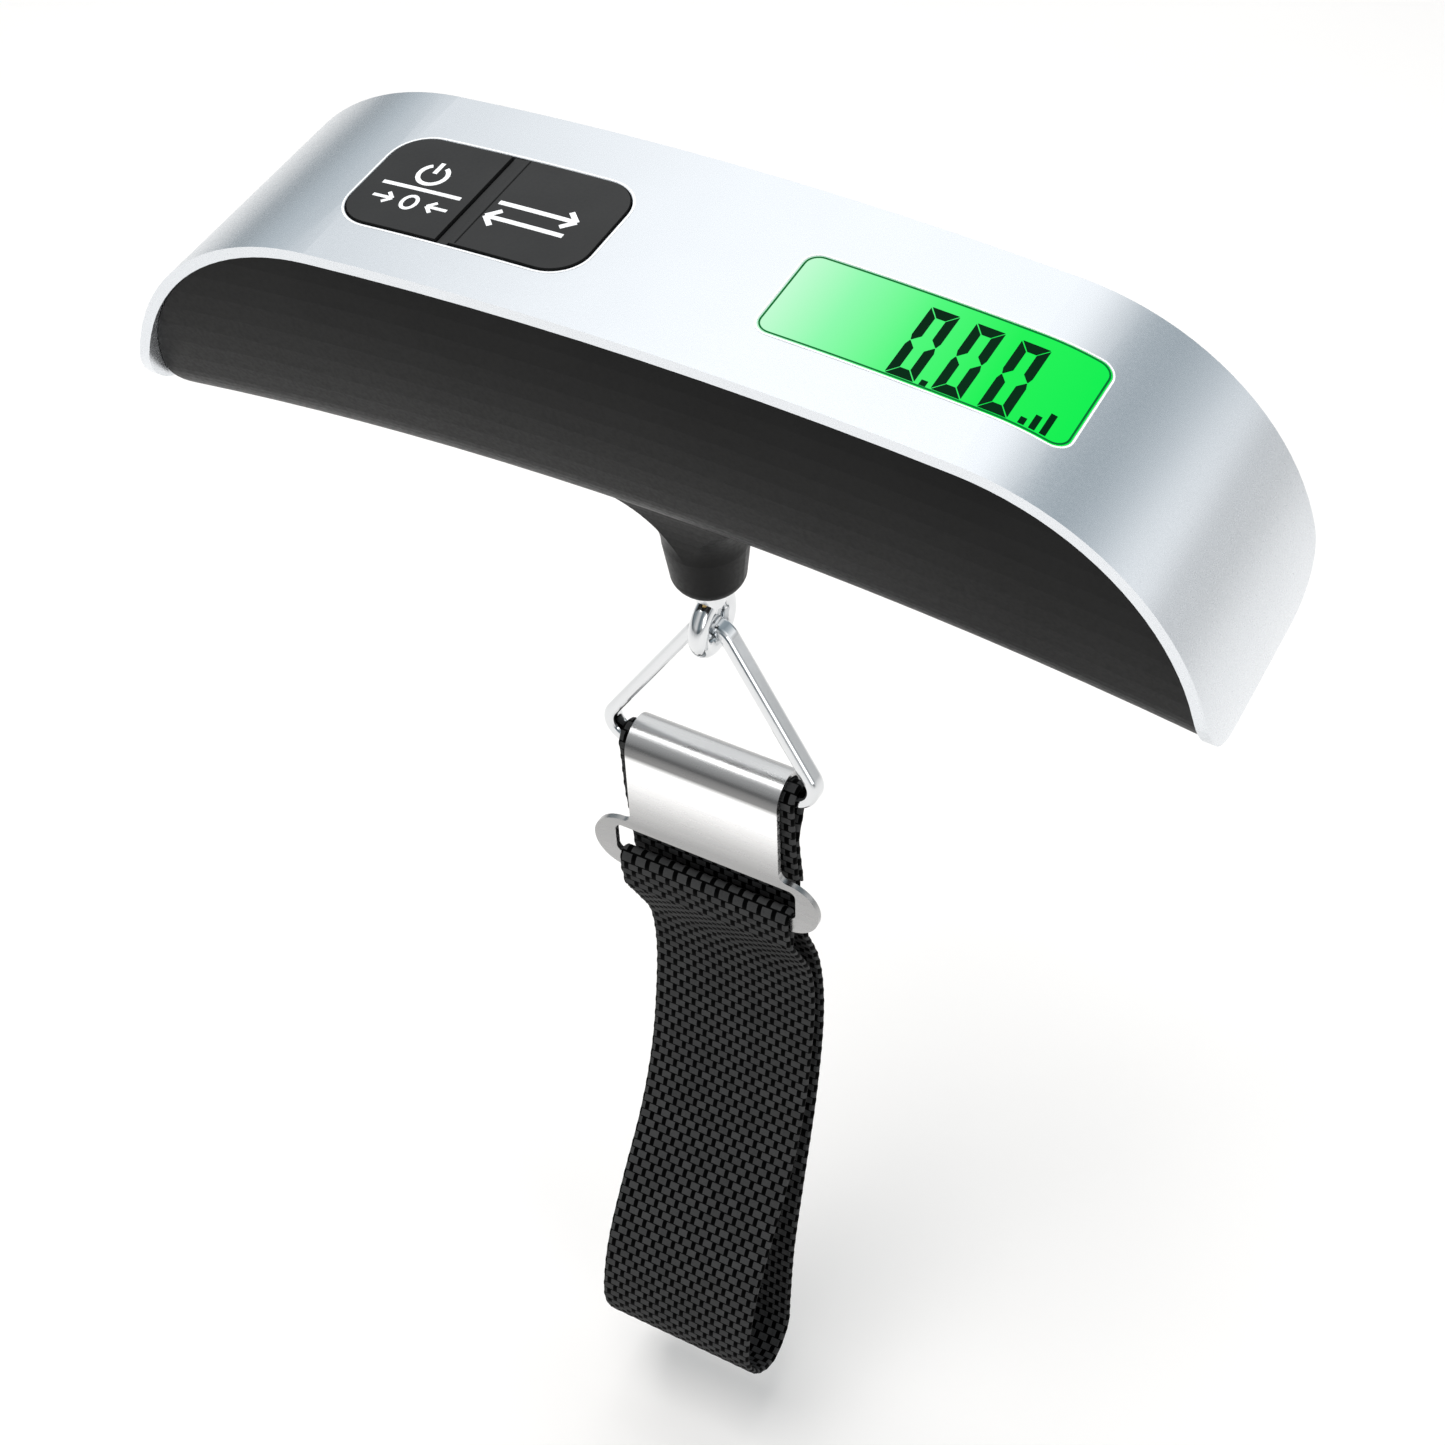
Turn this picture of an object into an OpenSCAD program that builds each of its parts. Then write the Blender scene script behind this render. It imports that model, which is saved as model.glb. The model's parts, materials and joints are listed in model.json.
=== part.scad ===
// Digital luggage scale: a T-shaped handle with a display and two keys, a wire ring on a
// swivelling eye, and a webbing strap whose free end hooks back over the ring's bar.
// +X runs along the handle towards the display, -Y is the front, +Z is up.
// The origin is the middle of the cover's top surface, where the hand's grip lifts.

/* [Handle] */
// Length of the handle, tip to tip
body_l = 150; // [148:1:154]
// Width of the cover, front to back
body_w = 34.8; // [34.6:0.2:36]
// Radius of the long arc along the top
top_r = 480; // [470:5:500]
// Radius of the turned-down ends
end_r = 35.5; // [35:0.5:36]
// Height of the cover, from its top to the tips
cover_h = 36.8; // [36:0.2:37]
// Thickness of the cover's sheet
cover_t = 1.5; // [1.4:0.1:1.5]
// Radius of the cover's corners at the tips
tip_corner_r = 8.5; // [6:0.5:9]
// Depth of the handle at its middle
belly_h = 34.6; // [34:0.2:36]
// Wall of the plastic housing
wall = 2; // [1.8:0.1:2.2]

/* [Keys and display] */
// Length of the key pad
pad_l = 34.2; // [33:0.2:35]
// Width of the key pad
pad_w = 18.4; // [17:0.2:18.6]
// Corner radius of the key pad
pad_r = 5; // [3:0.5:6]
// Middle of the key pad along the handle
pad_x = -26.9; // [-27.4:0.1:-26.4]
// Travel of a key
key_travel = 0.6; // [0.4:0.1:0.7]
// Length of the display window
window_l = 38.6; // [36:0.2:39]
// Width of the display window
window_w = 15; // [13:0.2:15.2]
// Middle of the display window along the handle
window_x = 32.4; // [32:0.1:33]

/* [Hanger] */
// Height of the hole that the ring hangs in
eye_z = -61.8; // [-62.5:0.1:-61.5]
// Thickness of the ring's flat wire, in the plane of the ring
ring_t = 1.9; // [1.8:0.05:1.95]
// Depth of the ring's flat wire, front to back
ring_d = 2.9; // [2.8:0.05:2.95]
// Height of the ring, apex to bar, between wire centres
ring_h = 26.5; // [26:0.1:27]
// Outer width of the ring
ring_w = 34.2; // [34.2:0.2:36]
// Forward lean of the ring at rest
ring_lean = 6; // [5:0.5:7]
// Width of the hook plate above its slot
plate_w = 24.4; // [23:0.2:25]
// Thickness of the hook plate
plate_t = 0.9; // [0.8:0.05:1]

/* [Strap] */
// Width of the webbing
strap_w = 28; // [27:0.2:28]
// Thickness of the webbing
strap_t = 1; // [0.9:0.05:1.1]

/* [Hidden] */

big_fn = 720;
mid_fn = 96;
small_fn = 32;

// Arch outline: the long arc meets each end arc on one radial line.
end_cx = body_l / 2 - end_r;
end_cz = -top_r + sqrt((top_r - end_r) ^ 2 - end_cx ^ 2);
fan_z = 5;
fan_x = (top_r + fan_z) * end_cx / (top_r + end_cz);
fit_gap = 0.1;

// Belly section: barrel sides, round corners and a flat bottom.
belly_half_w = 17.1;
side_r = 80;
side_h = 6;
corner_r = 10.5;
belly_sweep = 24;
side_a = belly_half_w - side_r;
corner_rad = top_r - belly_h + corner_r;
corner_drop = belly_h - corner_r - side_h;
corner_a = side_a + sqrt((side_r - corner_r) ^ 2 - corner_drop ^ 2);
side_turn = asin(corner_drop / (side_r - corner_r));
side_top = -asin((side_h + fan_z) / side_r);
side_steps = 10;
corner_steps = 14;
tip_round_r = 6;
tip_round_x = 67;
tip_round_z = -33.3;
roof_x = 60;

// Neck under the housing
neck_bottom = -54.3;
neck_r = 5.2;
neck_top_r = 5.9;
neck_round = 2.6;
neck_taper_top = -46;
neck_flare_r = 11.5;
neck_side_r = 30;
neck_top = -28;
neck_steps = 12;
neck_bore_r = 3.2;

// Deck under the cover
tape_t = 0.3;
deck_top = cover_t + tape_t;
deck_t = 2.4;
deck_half_x = 59.5;
deck_half_y = 14.6;
boss_x = 47.5;
boss_y = 12.2;
boss_r = 2.4;
screw_r = 1;
screw_head_r = 2.2;

// Circuit board and its posts
board_z = -12.2;
board_t = 1.2;
board_x = [-52, 54];
board_y = [-13, 7.2];
posts = [[-49, -2], [2.5, -8.5], [2.5, 4.5]];
post_r = 2;

// Keys
pad_y = -0.75;
rib_x = -27.7;
rib_w = 1.4;
key_gap = 0.3;
key_proud = 0.25;
key_bottom = 2.9;
flange_top = 1.9;
flange_w = 1;
stem_r = 2;
switch_x = [-36.3, -18.3];
switch_h = 3.5;
plunger_r = 1.7;
plunger_top = -7.4;
plunger_l = 2.8;

// Display
window_y = -1;
window_r = 2;
lens_flange = 1.2;
lcd_l = 37.4;
lcd_w = 15.8;
lcd_x = 31.6;
lcd_z = -4.3;
lcd_tilt = 5.2;
lcd_t = 1.8;
backlight_t = 3;
pin_pitch = 2.8;

// Load cell, seen from its free end at the load line
cell_top = -20;
cell_h = 10;
cell_w = 12;
cell_x = [-9, 45];
shank_r = 2;
shank_hole_r = 2.06;
cell_screw_x = [31, 39];
gauge_x = [13, 21];

// Coin cell behind the rear wall
coin_x = -30;
coin_z = -17.6;
holder_rim = 1;
rib_depth = 0.4;
coin_y = 8.8;
coin_r = 10;
coin_t = 3.2;
door_w = 25;
door_h = 21.6;
door_r = 4;
door_gap = 0.3;

// Eye
eye_r = 3.9;
eye_wire_r = 1.4;
shank_top = -14.9;

// Ring, drawn in its own plane and then leaned about its pivot
wire_round = 0.7;
wire_steps = 4;
apex_r = 3.2;
ring_corner_r = 3;
ring_cx = ring_w / 2 - ring_t / 2 - ring_corner_r;
ring_cz = ring_h - ring_corner_r;
leg_x = ring_cx;
leg_z = ring_cz - apex_r;
leg_d = sqrt(leg_x ^ 2 + leg_z ^ 2);
leg_turn = asin((ring_corner_r - apex_r) / leg_d);
leg_a = atan2(leg_x, leg_z) + leg_turn;
leg_l = sqrt(leg_d ^ 2 - (ring_corner_r - apex_r) ^ 2);
// The ring's apex turns inside the eye, a little below its middle
body_gap = 0.3;
pivot_drop = 0.6;
pivot_z = eye_z - pivot_drop;

// The ring's bar, which carries the strap and the hook
bar_y = -ring_h * sin(ring_lean);
bar_z = pivot_z - ring_h * cos(ring_lean);
wire_reach = norm([ring_d / 2 - wire_round, ring_t / 2 - wire_round]) + wire_round;
loop_in = wire_reach + 0.1;
loop_out = loop_in + strap_t;
hook_in = loop_out + body_gap;
hook_out = hook_in + plate_t;
plate_lean = 2;
hook_lip = -25;
plate_mid = hook_in + plate_t / 2;

// Hook plate, measured down from the bar
slot_v = 19.2;
slot_half_h = 3;
slot_half_w = 14.9;
slot_r = 1.2;
ear_v = 20;
ear_r = 5.1;
ear_x = 13.5;
shoulder_r = 1.6;
bar_v = (slot_v + slot_half_h + ear_v + ear_r) / 2;
bar_half = (ear_v + ear_r - slot_v - slot_half_h) / 2;
wrap_gap = 0.15;
wrap_leg = 29;

// Webbing centreline in side view: down the rear run, round the bottom and up the front
webbing = [
    [-4.75, -92], [-4.7, -99], [-4, -107], [-3.6, -114], [-2.2, -121], [0.8, -130],
    [2, -140], [1.3, -151], [-1.8, -166], [-7.2, -184], [-11.2, -198], [-13.4, -211],
    [-14.8, -218.5], [-19.8, -222], [-25, -218], [-28.2, -210], [-27.4, -202.5],
    [-24.2, -194], [-18.4, -185], [-10.6, -174], [-5.2, -162], [-1.9, -148], [-0.9, -139],
    [-1.6, -131], [-4.2, -124.5], [-7.1, -118.3]
];
steps = 5;
loop_steps = 24;
sewn_gap = 0.02;
rear_end = 12;
bend_end = 15;
stitch_r = 0.35;
stitch_pitch = 2.6;

// Frames and extrusions
module along_y(w) {
    rotate([90, 0, 0])
        linear_extrude(w, center = true)
            children();
}

module along_x(w) {
    rotate([90, 0, 90])
        linear_extrude(w, center = true)
            children();
}

module round_rect(l, w, r) {
    square([l - 2 * r, w], center = true);
    square([l, w - 2 * r], center = true);
    for (sx = [-1, 1], sy = [-1, 1])
        translate([sx * (l / 2 - r), sy * (w / 2 - r)])
            circle(r = r, $fn = small_fn);
}

// Arch outline in side view, inset from the cover's outer surface
module arch(inset, low = cover_h) {
    intersection() {
        union() {
            intersection() {
                translate([0, -top_r])
                    circle(r = top_r - inset, $fn = big_fn);
                polygon([[0, -top_r], [fan_x, fan_z], [-fan_x, fan_z]]);
            }
            for (s = [-1, 1])
                translate([s * end_cx, end_cz])
                    circle(r = end_r - inset, $fn = mid_fn);
        }
        translate([-body_l, -low])
            square([2 * body_l, low + fan_z]);
    }
}

// Layer that follows the top arc, between two depths below the cover's surface
module layer(top, bottom, half_x, w) {
    along_y(w)
        intersection() {
            difference() {
                arch(top);
                arch(bottom, cover_h + 1);
            }
            translate([-half_x, -cover_h + 1])
                square([2 * half_x, cover_h + fan_z]);
        }
}

module column(x, y, r, low, high) {
    translate([x, y, low])
        cylinder(r = r, h = high - low, $fn = small_fn);
}

// Straight-sided cutter or blank seen from above
module prism(x, y, low = -20, high = 5) {
    translate([x, y, low])
        linear_extrude(high - low)
            children();
}

module pad_shape(grow = 0) {
    round_rect(pad_l + 2 * grow, pad_w + 2 * grow, pad_r + grow);
}

module window_shape(grow = 0) {
    round_rect(window_l + 2 * grow, window_w + 2 * grow, window_r + grow);
}

// Half of the key pad on one side of the rib
module key_shape(side, grow = 0) {
    edge = rib_x - pad_x + side * (rib_w / 2 + key_gap);
    intersection() {
        pad_shape(grow - key_gap);
        translate([side > 0 ? edge : edge - pad_l, -pad_w])
            square([pad_l, 2 * pad_w]);
    }
}

// Belly section: x is the distance from the arc's centre, y runs across the handle.
// Points run down one side's barrel arc and round its corner to the flat bottom.
function belly_side(inset) = concat(
    [for (i = [0 : side_steps])
        let (t = side_top + (side_turn - side_top) * i / side_steps)
        [top_r - side_h, side_a] + (side_r - inset) * [-sin(t), cos(t)]],
    [for (i = [1 : corner_steps])
        let (t = side_turn + (90 - side_turn) * i / corner_steps)
        [corner_rad, corner_a] + (corner_r - inset) * [-sin(t), cos(t)]]
);

module belly_section(inset) {
    side = belly_side(inset);
    polygon(concat(side, [for (i = [len(side) - 1 : -1 : 0]) [side[i].x, -side[i].y]]));
}

module belly(inset) {
    translate([0, 0, -top_r])
        rotate([90, 0, 0])
            rotate([0, 0, 90 - belly_sweep / 2])
                rotate_extrude(angle = belly_sweep, $fn = big_fn)
                    belly_section(inset);
}

// Housing outline in side view, with its tips rounded underneath
module housing_outline() {
    difference() {
        arch(cover_t + fit_gap, belly_h + 10);
        for (s = [-1, 1])
            scale([s, 1])
                translate([tip_round_x, tip_round_z])
                    difference() {
                        translate([0, -3 * tip_round_r])
                            square([3 * tip_round_r, 3 * tip_round_r]);
                        circle(r = tip_round_r, $fn = mid_fn);
                    }
    }
}

module cavity() {
    intersection() {
        belly(wall);
        along_y(2 * body_w)
            union() {
                intersection() {
                    arch(-1, belly_h + 10);
                    translate([-roof_x, -belly_h - 10])
                        square([2 * roof_x, belly_h + 20]);
                }
                intersection() {
                    arch(cover_t + fit_gap + wall, belly_h + 10);
                    translate([-tip_round_x - 2, -belly_h - 1])
                        square([2 * tip_round_x + 4, belly_h + 10]);
                }
            }
    }
}

// Half width of the neck's flare across the handle, at height z above the taper
function neck_half(z) = neck_top_r + neck_side_r - sqrt(neck_side_r ^ 2 - (z - neck_taper_top) ^ 2);

module neck_outline() {
    side = [
        for (i = [0 : neck_steps])
            let (z = neck_taper_top + (neck_top - neck_taper_top) * i / neck_steps)
            [neck_half(z), z]
    ];
    polygon(concat(
        [[-neck_top_r, neck_bottom - 1], [neck_top_r, neck_bottom - 1]],
        side,
        [for (i = [len(side) - 1 : -1 : 0]) [-side[i].x, side[i].y]]
    ));
}

module neck() {
    intersection() {
        rotate_extrude($fn = mid_fn)
            difference() {
                union() {
                    polygon([
                        [0, neck_bottom], [neck_r - neck_round, neck_bottom],
                        [neck_r - neck_round, neck_bottom + neck_round],
                        [neck_r, neck_bottom + neck_round], [neck_top_r, neck_taper_top],
                        [0, neck_taper_top]
                    ]);
                    translate([neck_r - neck_round, neck_bottom + neck_round])
                        circle(r = neck_round, $fn = small_fn);
                    translate([0, neck_taper_top])
                        square([neck_top_r + neck_flare_r - 1.2, neck_top - neck_taper_top]);
                }
                translate([neck_top_r + neck_flare_r, neck_taper_top])
                    circle(r = neck_flare_r, $fn = mid_fn);
                translate([-neck_r, neck_bottom - 1])
                    square([neck_r, neck_top - neck_bottom + 2]);
            }
        along_x(2 * body_w)
            neck_outline();
    }
}

module door_shape(gap = 0) {
    round_rect(door_w - 2 * gap, door_h - 2 * gap, door_r - gap);
}

module through_rear_wall(depth) {
    translate([coin_x, coin_y + coin_t + depth, coin_z])
        rotate([-90, 0, 0])
            linear_extrude(body_w)
                children();
}

// Cover and deck
function cover_corner(a) = [
    body_w / 2 - tip_corner_r * (1 - cos(a)),
    tip_corner_r - cover_h - tip_corner_r * sin(a)
];

module top_cover() {
    color("#c9ced4")
    difference() {
        intersection() {
            along_y(body_w)
                difference() {
                    arch(0);
                    arch(cover_t, cover_h + 1);
                }
            along_x(2 * body_l)
                polygon(concat(
                    [[body_w / 2, fan_z]],
                    [for (i = [0 : corner_steps]) cover_corner(90 * i / corner_steps)],
                    [for (i = [corner_steps : -1 : 0])
                        let (c = cover_corner(90 * i / corner_steps))
                        [-c.x, c.y]],
                    [[-body_w / 2, fan_z]]
                ));
        }
        prism(pad_x, pad_y)
            pad_shape();
        prism(window_x, window_y)
            window_shape();
    }
}

module cover_tape() {
    color("#e8e4d8")
    difference() {
        layer(cover_t, deck_top, deck_half_x - 4, 2 * deck_half_y - 1);
        prism(pad_x, pad_y)
            pad_shape(flange_w + 0.6);
        prism(window_x, window_y)
            window_shape(lens_flange + 0.2);
        for (sx = [-1, 1], sy = [-1, 1])
            column(sx * boss_x, sy * boss_y, screw_head_r + 0.2, -20, 5);
    }
}

module deck() {
    color("#2a2a2c")
    difference() {
        union() {
            layer(deck_top, deck_top + deck_t, deck_half_x, 2 * deck_half_y);
            for (p = posts)
                column(p.x, p.y, post_r, board_z, -(deck_top + deck_t) - 2);
            for (p = posts)
                column(p.x, p.y, post_r, -8, abs(p.x) > 40 ? -6 : -3);
        }
        prism(pad_x, pad_y)
            pad_shape(flange_w + 0.6);
        prism(window_x, window_y)
            window_shape(lens_flange + 0.2);
        for (sx = [-1, 1], sy = [-1, 1]) {
            column(sx * boss_x, sy * boss_y, screw_r, -20, 5);
            column(sx * boss_x, sy * boss_y, screw_head_r, -5.9, 5);
        }
        for (p = posts)
            column(p.x, p.y, screw_r - 0.2, board_z - 1, board_z + 3.5);
    }
}

module deck_screws() {
    color("#b8bcc0")
    for (sx = [-1, 1], sy = [-1, 1])
        difference() {
            union() {
                column(sx * boss_x, sy * boss_y, screw_r, -14, -5.5);
                column(sx * boss_x, sy * boss_y, screw_head_r, -5.9, -5);
            }
            translate([sx * boss_x, sy * boss_y, -5])
                cube([0.5, 2.4, 0.8], center = true);
            translate([sx * boss_x, sy * boss_y, -5])
                cube([2.4, 0.5, 0.8], center = true);
        }
}

// Housing
module housing_bosses() {
    intersection() {
        union() {
            for (sx = [-1, 1], sy = [-1, 1])
                column(sx * boss_x, sy * boss_y, boss_r, -38, 0);
            translate([cell_screw_x[0] - 6, -cell_w / 2 - 0.5, -38])
                cube([cell_screw_x[1] - cell_screw_x[0] + 12, cell_w + 1, 38 + cell_top - cell_h]);
        }
        belly(wall / 2);
        along_y(2 * body_w)
            arch(deck_top + deck_t, belly_h + 10);
    }
}

module housing() {
    color("#1c1c1e")
    difference() {
        union() {
            difference() {
                intersection() {
                    belly(0);
                    along_y(2 * body_w)
                        housing_outline();
                }
                cavity();
            }
            difference() {
                neck();
                belly(wall / 2);
            }
            housing_bosses();
        }
        column(0, 0, neck_bore_r, -60, -30);
        for (sx = [-1, 1], sy = [-1, 1])
            column(sx * boss_x, sy * boss_y, screw_r, -14, 0);
        for (x = cell_screw_x)
            column(x, 0, 2, -34.5, -20);
        through_rear_wall(-3)
            door_shape();
    }
}

// Display
module display_window() {
    color([0.35, 0.95, 0.45, 0.6])
    union() {
        intersection() {
            prism(window_x, window_y)
                window_shape(-0.1);
            layer(0, cover_t + 0.3, deck_half_x, body_w);
        }
        intersection() {
            prism(window_x, window_y)
                window_shape(lens_flange);
            layer(cover_t, cover_t + 0.7, deck_half_x, body_w);
        }
    }
}

module at_lcd() {
    translate([lcd_x, window_y, lcd_z])
        rotate([0, lcd_tilt, 0])
            children();
}

module lcd_glass() {
    color("#8fe39b")
    at_lcd()
        translate([0, 0, -lcd_t / 2])
            cube([lcd_l, lcd_w, lcd_t], center = true);
}

module lcd_backlight() {
    color("#e9f5ea")
    at_lcd()
        translate([0, 0, -lcd_t - backlight_t / 2])
            cube([lcd_l - 3, lcd_w - 3, backlight_t], center = true);
}

module lcd_pins() {
    color("#d8c27a")
    for (i = [0 : 11], s = [-1, 1]) {
        x = pin_pitch * (i - 5.5);
        top = lcd_z - lcd_t / cos(lcd_tilt) - x * tan(lcd_tilt) - 0.05;
        column(lcd_x + x, window_y + s * (lcd_w / 2 - 0.7), 0.25, board_z, top);
    }
}

// Circuit board
module circuit_board() {
    color("#1f6b3a")
    difference() {
        translate([board_x[0], board_y[0], board_z - board_t])
            cube([board_x[1] - board_x[0], board_y[1] - board_y[0], board_t]);
        for (s = [-1, 1])
            column(s * boss_x, -boss_y, boss_r + 0.6, -20, 0);
        for (p = posts)
            column(p.x, p.y, screw_r - 0.2, -20, 0);
    }
}

module controller_chip() {
    color("#101012")
    translate([-2, -2, board_z - board_t - 1.2])
        cylinder(r1 = 2.4, r2 = 4, h = 1.2, $fn = small_fn);
}

module board_screws() {
    color("#b8bcc0")
    for (p = posts) {
        column(p.x, p.y, screw_r - 0.2, board_z - board_t, board_z + 3.3);
        difference() {
            column(p.x, p.y, 1.7, board_z - board_t - 1.2, board_z - board_t);
            translate([p.x, p.y, board_z - board_t - 1.2])
                cube([2.2, 0.5, 0.8], center = true);
            translate([p.x, p.y, board_z - board_t - 1.2])
                cube([0.5, 2.2, 0.8], center = true);
        }
    }
}

// Keys
module key_switches() {
    color("#3a3c40")
    for (x = switch_x)
        difference() {
            translate([x - 3, pad_y - 3, board_z])
                cube([6, 6, switch_h]);
            column(x, pad_y, plunger_r + 0.05, plunger_top - plunger_l - 1, 0);
        }
}

module key_frame() {
    color("#242426")
    difference() {
        union() {
            intersection() {
                prism(pad_x, pad_y)
                    round_rect(pad_l + 4.6, pad_w + 4.4, pad_r);
                layer(deck_top + deck_t, deck_top + deck_t + 0.9, deck_half_x, body_w);
            }
            intersection() {
                translate([rib_x - rib_w / 2, pad_y - pad_w / 2 + 0.1, -10])
                    cube([rib_w, pad_w - 0.2, 15]);
                layer(0.1, deck_top + deck_t + 0.6, deck_half_x, body_w);
            }
        }
        for (x = switch_x)
            column(x, pad_y, stem_r + 0.4, -20, 5);
    }
}

module key(side, x) {
    color("#323236")
    union() {
        intersection() {
            prism(pad_x, pad_y)
                key_shape(side);
            layer(-key_proud, key_bottom, deck_half_x, body_w);
        }
        intersection() {
            prism(pad_x, pad_y)
                key_shape(side, flange_w + key_gap);
            layer(flange_top, key_bottom, deck_half_x, body_w);
        }
        column(x, pad_y, stem_r, plunger_top, -key_bottom);
    }
}

module plunger(x) {
    color("#c0a030")
    column(x, pad_y, plunger_r, plunger_top - plunger_l, plunger_top);
}

module key_power() {
    key(-1, switch_x[0]);
}

module plunger_power() {
    plunger(switch_x[0]);
}

module key_unit() {
    key(1, switch_x[1]);
}

module plunger_unit() {
    plunger(switch_x[1]);
}

// Load cell and what it carries
module load_cell() {
    color("#b9bec4")
    difference() {
        translate([cell_x[0], -cell_w / 2, cell_top - cell_h])
            cube([cell_x[1] - cell_x[0], cell_w, cell_h]);
        column(0, 0, shank_hole_r, -40, 0);
        for (x = cell_screw_x)
            column(x, 0, 2.2, -40, 0);
        for (x = gauge_x)
            translate([x, 0, cell_top - cell_h / 2])
                rotate([90, 0, 0])
                    cylinder(r = 3.4, h = 2 * cell_w, center = true, $fn = small_fn);
        translate([gauge_x[0], -cell_w, cell_top - cell_h / 2 - 1])
            cube([gauge_x[1] - gauge_x[0], 2 * cell_w, 2]);
    }
}

module strain_gauges() {
    color("#e6e6e0")
    for (x = gauge_x, z = [cell_top, cell_top - cell_h - 0.5])
        translate([x - 2.5, -2.5, z])
            cube([5, 5, 0.5]);
}

module gauge_wires() {
    color("#b03030")
    for (x = gauge_x, y = [-1.2, 1.2])
        column(x, y, 0.35, cell_top + 0.5, board_z - board_t);
}

module load_cell_screws() {
    color("#8a8d92")
    for (x = cell_screw_x)
        difference() {
            union() {
                column(x, 0, 2, -34.5, cell_top);
                column(x, 0, 3.4, cell_top, cell_top + 3);
            }
            translate([x, 0, cell_top + 1.4])
                cylinder(r = 1.7, h = 3, $fn = 6);
        }
}

module stem_bush() {
    color("#b08d3c")
    difference() {
        column(0, 0, neck_bore_r, neck_bottom + 0.4, neck_bottom + 10);
        column(0, 0, shank_hole_r, -60, -30);
    }
}

module eye_bolt() {
    color("#d6d9dc")
    union() {
        column(0, 0, shank_r, eye_z + eye_r, shank_top);
        translate([0, 0, eye_z])
            rotate([0, 90, 0])
                rotate_extrude($fn = mid_fn)
                    translate([eye_r, 0])
                        circle(r = eye_wire_r, $fn = small_fn);
    }
}

module thrust_washer() {
    color("#c8ccd0")
    difference() {
        column(0, 0, 4.4, cell_top + 0.05, cell_top + 0.85);
        column(0, 0, shank_r, -40, 0);
    }
}

module lock_nut() {
    color("#9fa3a8")
    difference() {
        translate([0, 0, cell_top + 0.85])
            cylinder(r = 4.04, h = 3.2, $fn = 6);
        column(0, 0, shank_r, -40, 0);
    }
}

// Battery
module cell_holder() {
    color("#2c2c2e")
    difference() {
        translate([coin_x, coin_y - 1.3, coin_z])
            rotate([-90, 0, 0])
                cylinder(r = coin_r + holder_rim, h = 4, $fn = mid_fn);
        translate([coin_x, coin_y - 0.4, coin_z])
            rotate([-90, 0, 0])
                cylinder(r = coin_r + 0.2, h = 6, $fn = mid_fn);
        translate([coin_x - 3, 0, board_z - 0.1])
            cube([6, 12, 0.8]);
        translate([coin_x - 15, 0, coin_z - 4])
            cube([6, 20, 9]);
    }
}

module coin_cell() {
    color("#c4c8cc")
    translate([coin_x, coin_y + 0.05, coin_z])
        rotate([-90, 0, 0])
            union() {
                cylinder(r = coin_r - 1.2, h = coin_t, $fn = mid_fn);
                translate([0, 0, 0.5])
                    cylinder(r = coin_r, h = coin_t - 0.5, $fn = mid_fn);
            }
}

module contact_positive() {
    color("#cfae5a")
    union() {
        translate([coin_x - coin_r - 0.3, board_y[1] - 1.5, coin_z - 2.5])
            cube([0.3, 5.5, board_z - board_t - coin_z + 2.5]);
        translate([coin_x - coin_r - 0.3, board_y[1] - 1.5, board_z - board_t - 0.3])
            cube([3.5, 1.5, 0.3]);
    }
}

module contact_negative() {
    color("#cfae5a")
    union() {
        translate([coin_x - 2, coin_y - 0.35, coin_z - 5])
            cube([4, 0.3, board_z - coin_z + 5.3]);
        translate([coin_x - 2, board_y[1] - 2, board_z])
            cube([4, coin_y - board_y[1] + 1.95, 0.3]);
    }
}

module battery_door() {
    color("#1f1f21")
    difference() {
        union() {
            intersection() {
                belly(0);
                through_rear_wall(rib_depth)
                    door_shape(door_gap);
            }
            intersection() {
                belly(-0.4);
                through_rear_wall(0)
                    for (i = [-1 : 1])
                        translate([0, -6 + 2 * i])
                            square([12, 0.9], center = true);
            }
        }
        intersection() {
            belly(wall);
            difference() {
                through_rear_wall(-3)
                    door_shape(-1);
                through_rear_wall(-3)
                    for (s = [-1, 1])
                        translate([s * 7, 0])
                            square([1.6, 12], center = true);
            }
        }
        translate([coin_x, body_w / 2, coin_z - door_h / 2])
            rotate([90, 0, 0])
                cylinder(r = 2.2, h = 6, center = true, $fn = small_fn);
    }
}

// Ring, bent from flat wire: x runs across the wire in the ring's plane
function wire_corner(sx, sy, from) = [
    for (i = [0 : wire_steps])
        let (a = from + 90 * i / wire_steps)
        [sx * (ring_t / 2 - wire_round), sy * (ring_d / 2 - wire_round)]
            + wire_round * [cos(a), sin(a)]
];

module wire_section() {
    polygon(concat(
        wire_corner(1, 1, 0), wire_corner(-1, 1, 90),
        wire_corner(-1, -1, 180), wire_corner(1, -1, 270)
    ));
}

module wire_bend(r, from, sweep) {
    rotate([90, 0, 0])
        rotate([0, 0, from])
            rotate_extrude(angle = sweep, $fn = mid_fn)
                translate([r, 0])
                    wire_section();
}

module triangle_ring() {
    color("#dcdfe2")
    translate([0, 0, pivot_z])
        rotate([-ring_lean, 0, 0])
            union() {
                translate([0, 0, -apex_r])
                    wire_bend(apex_r, leg_a, 180 - 2 * leg_a);
                for (s = [-1, 1])
                    scale([s, 1, 1])
                        translate([ring_cx, 0, -ring_cz]) {
                            wire_bend(ring_corner_r, -90, 90 + leg_a);
                            rotate([0, -leg_a, 0])
                                translate([ring_corner_r, 0, 0])
                                    linear_extrude(leg_l)
                                        wire_section();
                        }
                translate([-ring_cx, 0, -ring_h])
                    rotate([0, 90, 0])
                        linear_extrude(2 * ring_cx)
                            wire_section();
            }
}

// Puts the bar's centre at the origin, with z up the hook plate and y to its rear
module at_plate() {
    translate([0, bar_y, bar_z])
        rotate([-plate_lean, 0, 0])
            children();
}

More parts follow.
